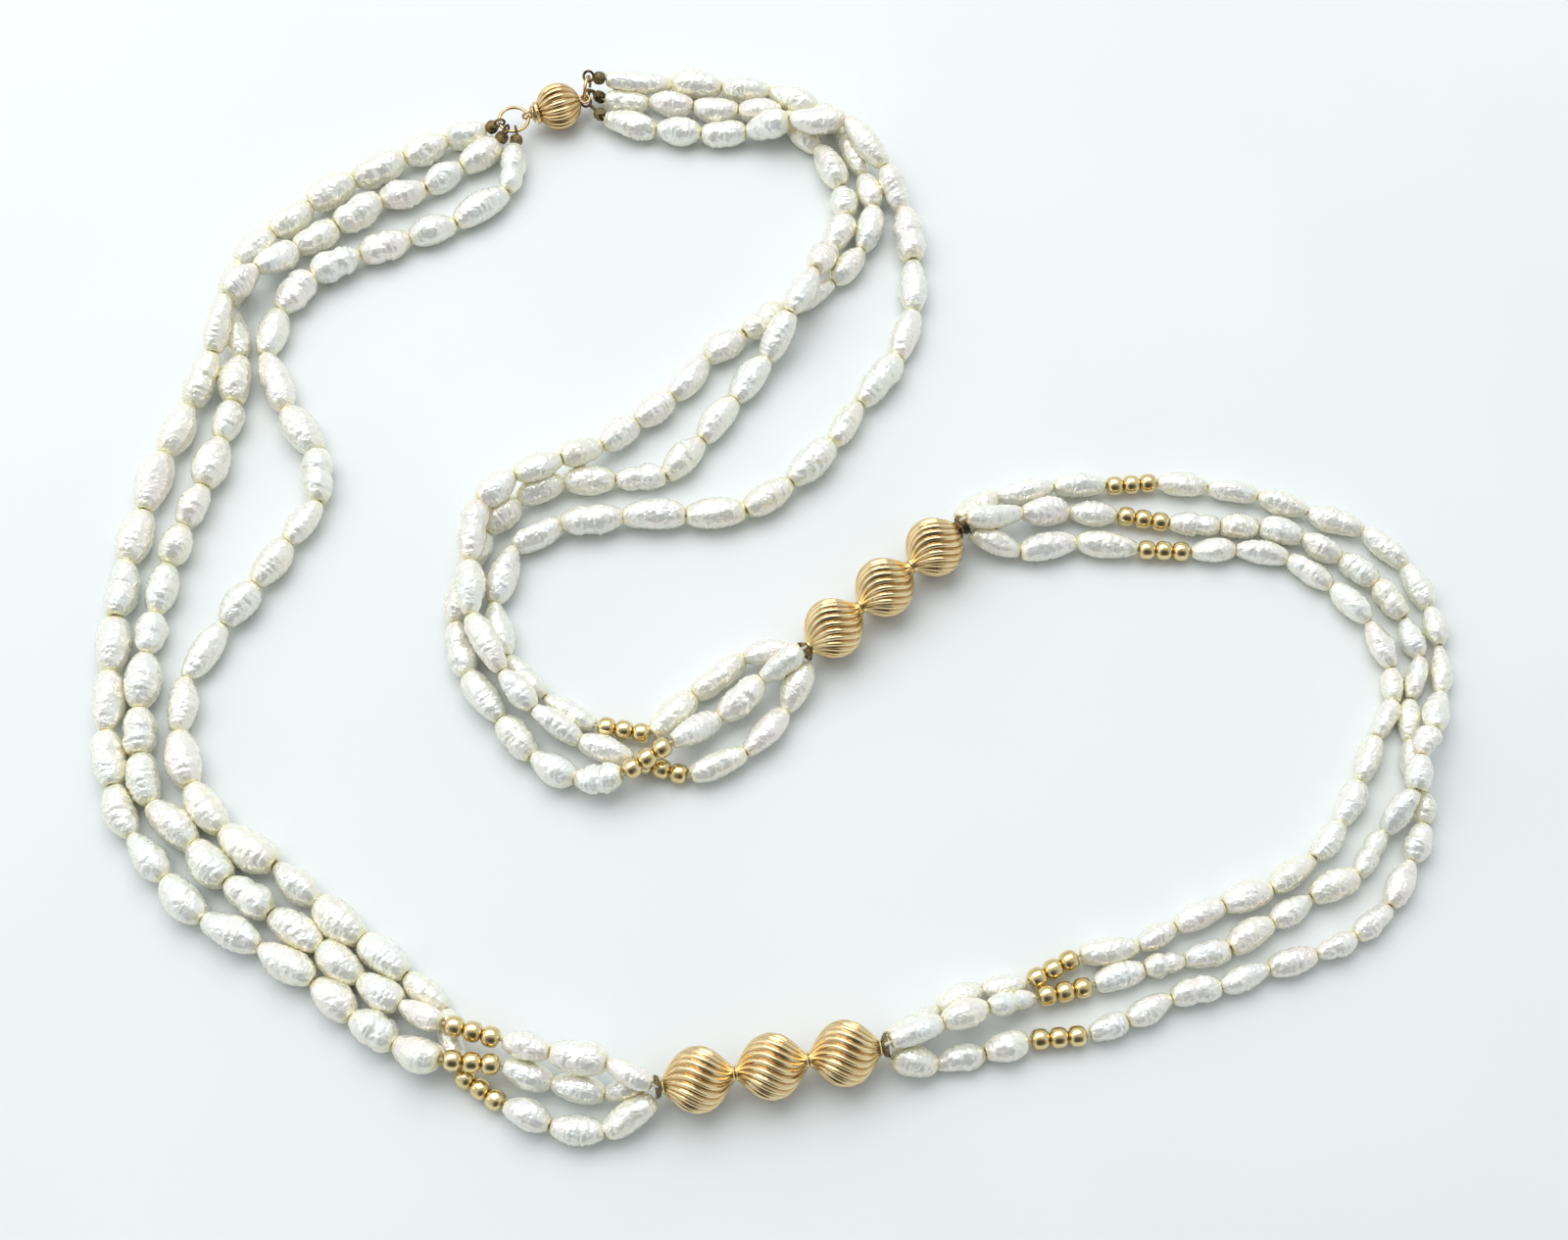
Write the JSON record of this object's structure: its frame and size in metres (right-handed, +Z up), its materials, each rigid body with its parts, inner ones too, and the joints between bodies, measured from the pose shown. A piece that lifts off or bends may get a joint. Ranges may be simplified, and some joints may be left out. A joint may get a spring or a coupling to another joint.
{
  "type": "pearl necklace",
  "caption": "Long multi-strand necklace of rice pearls with fluted gold beads, small round gold beads and a ribbed ball clasp, laid out flat in a folded loop.",
  "frame": {"origin": "under the middle of the laid-out loop, on the surface it lies on", "axes": "+X to the right and +Y away from the viewer, towards the clasp; +Z up from the surface"},
  "size_m": [0.2193, 0.1942, 0.0098],
  "materials": {
    "pearl": "glossy nacre",
    "silk": "matt",
    "gold": "polished",
    "clasp_gold": "worn polish",
    "tarnished_metal": "tarnished"
  },
  "bodies": {
    "front_section": {"pearls_front_short_upper": "pearl", "pearls_front_short_centre": "pearl", "pearls_front_short_lower": "pearl", "pearls_front_upper": "pearl", "pearls_front_centre": "pearl", "pearls_front_lower": "pearl", "pearls_side_short_upper": "pearl", "pearls_side_short_centre": "pearl", "pearls_side_short_lower": "pearl", "thread_front": "silk", "gather_cup_front_end": "tarnished_metal", "gather_cup_side_end": "tarnished_metal"},
    "left_section": {"pearls_left_outer": "pearl", "pearls_left_centre": "pearl", "pearls_left_inner": "pearl", "pearls_left_short_outer": "pearl", "pearls_left_short_centre": "pearl", "pearls_left_short_inner": "pearl", "bead_tip_left_outer": "tarnished_metal", "bead_tip_left_centre": "tarnished_metal", "bead_tip_left_inner": "tarnished_metal", "thread_left": "silk", "gather_cup_front_start": "tarnished_metal", "clasp_tongue": "clasp_gold"},
    "right_section": {"pearls_right_upper": "pearl", "pearls_right_centre": "pearl", "pearls_right_lower": "pearl", "pearls_right_short_upper": "pearl", "pearls_right_short_centre": "pearl", "pearls_right_short_lower": "pearl", "bead_tip_right_upper": "tarnished_metal", "bead_tip_right_centre": "tarnished_metal", "bead_tip_right_lower": "tarnished_metal", "thread_right": "silk", "gather_cup_side_start": "tarnished_metal", "clasp_ball_shell": "clasp_gold", "clasp_mouth_collar": "clasp_gold", "clasp_ball_loop": "clasp_gold"},
    "fluted_bead_front_first": {"fluted_bead_front_first": "gold"},
    "fluted_bead_front_second": {"fluted_bead_front_second": "gold"},
    "fluted_bead_front_third": {"fluted_bead_front_third": "gold"},
    "fluted_bead_side_first": {"fluted_bead_side_first": "gold"},
    "fluted_bead_side_second": {"fluted_bead_side_second": "gold"},
    "fluted_bead_side_third": {"fluted_bead_side_third": "gold"},
    "gold_triple_left_outer": {"gold_triple_left_outer": "gold"},
    "gold_triple_left_centre": {"gold_triple_left_centre": "gold"},
    "gold_triple_left_inner": {"gold_triple_left_inner": "gold"},
    "gold_triple_front_middle": {"gold_triple_front_middle": "gold"},
    "gold_triple_front_top": {"gold_triple_front_top": "gold"},
    "gold_triple_front_bottom": {"gold_triple_front_bottom": "gold"},
    "gold_triple_side_top": {"gold_triple_side_top": "gold"},
    "gold_triple_side_middle": {"gold_triple_side_middle": "gold"},
    "gold_triple_side_bottom": {"gold_triple_side_bottom": "gold"},
    "gold_triple_right_lower": {"gold_triple_right_lower": "gold"},
    "gold_triple_right_middle": {"gold_triple_right_middle": "gold"},
    "gold_triple_right_top": {"gold_triple_right_top": "gold"},
    "jump_ring_left": {"jump_ring_left": "clasp_gold"},
    "jump_ring_right": {"jump_ring_right": "clasp_gold"},
    "clasp_tongue_leaf": {"clasp_tongue_leaf": "clasp_gold"}
  },
  "joints": [
    {"name": "left_side_swing", "type": "hinge", "parent": "front_section", "child": "left_section", "pos_m": [0.01678, -0.08315, 0.00492], "axis": [0, 0, 1], "range_deg": [0, 15]},
    {"name": "right_side_swing", "type": "hinge", "parent": "front_section", "child": "right_section", "pos_m": [0.00498, -0.01912, 0.00492], "axis": [0, 0, -1], "range_deg": [0, 15]},
    {"name": "fluted_bead_front_first_spin", "type": "hinge", "parent": "left_section", "child": "fluted_bead_front_first", "pos_m": [-0.01112, -0.08817, 0.00492], "axis": [0.9842, 0.1771, 0], "continuous": true},
    {"name": "fluted_bead_front_second_spin", "type": "hinge", "parent": "left_section", "child": "fluted_bead_front_second", "pos_m": [-0.0002, -0.0862, 0.00492], "axis": [0.9842, 0.1771, 0], "continuous": true},
    {"name": "fluted_bead_front_third_spin", "type": "hinge", "parent": "left_section", "child": "fluted_bead_front_third", "pos_m": [0.01072, -0.08423, 0.00492], "axis": [0.9842, 0.1771, 0], "continuous": true},
    {"name": "fluted_bead_side_first_spin", "type": "hinge", "parent": "front_section", "child": "fluted_bead_side_first", "pos_m": [0.00962, -0.01508, 0.00492], "axis": [0.7547, 0.6561, 0], "continuous": true},
    {"name": "fluted_bead_side_second_spin", "type": "hinge", "parent": "front_section", "child": "fluted_bead_side_second", "pos_m": [0.018, -0.0078, 0.00492], "axis": [0.7547, 0.6561, 0], "continuous": true},
    {"name": "fluted_bead_side_third_spin", "type": "hinge", "parent": "front_section", "child": "fluted_bead_side_third", "pos_m": [0.02638, -0.00052, 0.00492], "axis": [0.7547, 0.6561, 0], "continuous": true},
    {"name": "gold_triple_left_outer_spin", "type": "hinge", "parent": "left_section", "child": "gold_triple_left_outer", "pos_m": [-0.0449, -0.081, 0.005], "axis": [0.9627, -0.2567, -0.0856], "continuous": true},
    {"name": "gold_triple_left_centre_spin", "type": "hinge", "parent": "left_section", "child": "gold_triple_left_centre", "pos_m": [-0.0448, -0.08555, 0.0048], "axis": [0.9934, -0.0756, -0.0864], "continuous": true},
    {"name": "gold_triple_left_inner_spin", "type": "hinge", "parent": "left_section", "child": "gold_triple_left_inner", "pos_m": [-0.04365, -0.0889, 0.0019], "axis": [0.8216, -0.5696, 0.0219], "continuous": true},
    {"name": "gold_triple_front_middle_spin", "type": "hinge", "parent": "front_section", "child": "gold_triple_front_middle", "pos_m": [0.0442, -0.07425, 0.00227], "axis": [0.9726, 0.222, -0.0687], "continuous": true},
    {"name": "gold_triple_front_top_spin", "type": "hinge", "parent": "front_section", "child": "gold_triple_front_top", "pos_m": [0.04265, -0.0707, 0.00197], "axis": [0.8835, 0.4684, -0.0053], "continuous": true},
    {"name": "gold_triple_front_bottom_spin", "type": "hinge", "parent": "front_section", "child": "gold_triple_front_bottom", "pos_m": [0.04295, -0.0812, 0.00202], "axis": [0.9964, 0.0839, -0.0157], "continuous": true},
    {"name": "gold_triple_side_top_spin", "type": "hinge", "parent": "front_section", "child": "gold_triple_side_top", "pos_m": [0.05995, 0.0126, 0.00202], "axis": [0.9957, 0.0916, -0.0172], "continuous": true},
    {"name": "gold_triple_side_middle_spin", "type": "hinge", "parent": "front_section", "child": "gold_triple_side_middle", "pos_m": [0.06155, 0.0061, 0.00202], "axis": [0.9866, -0.1625, -0.0174], "continuous": true},
    {"name": "gold_triple_side_bottom_spin", "type": "hinge", "parent": "front_section", "child": "gold_triple_side_bottom", "pos_m": [0.06455, 0.00025, 0.00202], "axis": [0.9993, -0.0337, -0.0168], "continuous": true},
    {"name": "gold_triple_right_lower_spin", "type": "hinge", "parent": "right_section", "child": "gold_triple_right_lower", "pos_m": [-0.0178, -0.03815, 0.0019], "axis": [0.9595, -0.2816, 0], "continuous": true},
    {"name": "gold_triple_right_middle_spin", "type": "hinge", "parent": "right_section", "child": "gold_triple_right_middle", "pos_m": [-0.01995, -0.0376, 0.00525], "axis": [0.8249, 0.5571, 0.0964], "continuous": true},
    {"name": "gold_triple_right_top_spin", "type": "hinge", "parent": "right_section", "child": "gold_triple_right_top", "pos_m": [-0.02395, -0.0317, 0.00225], "axis": [0.9855, -0.1695, -0.0106], "continuous": true},
    {"name": "jump_ring_left_spin", "type": "hinge", "parent": "left_section", "child": "jump_ring_left", "pos_m": [-0.04729, 0.08589, 0.0043], "axis": [0, 0, 1], "continuous": true},
    {"name": "jump_ring_right_spin", "type": "hinge", "parent": "right_section", "child": "jump_ring_right", "pos_m": [-0.03426, 0.09271, 0.0043], "axis": [0.9848, -0.1736, 0], "continuous": true},
    {"name": "tongue_press", "type": "hinge", "parent": "left_section", "child": "clasp_tongue_leaf", "pos_m": [-0.03789, 0.08931, 0.00445], "axis": [0.342, -0.9397, 0], "range_deg": [0, 5], "stiffness_Nm_per_rad": 0.01}
  ]
}
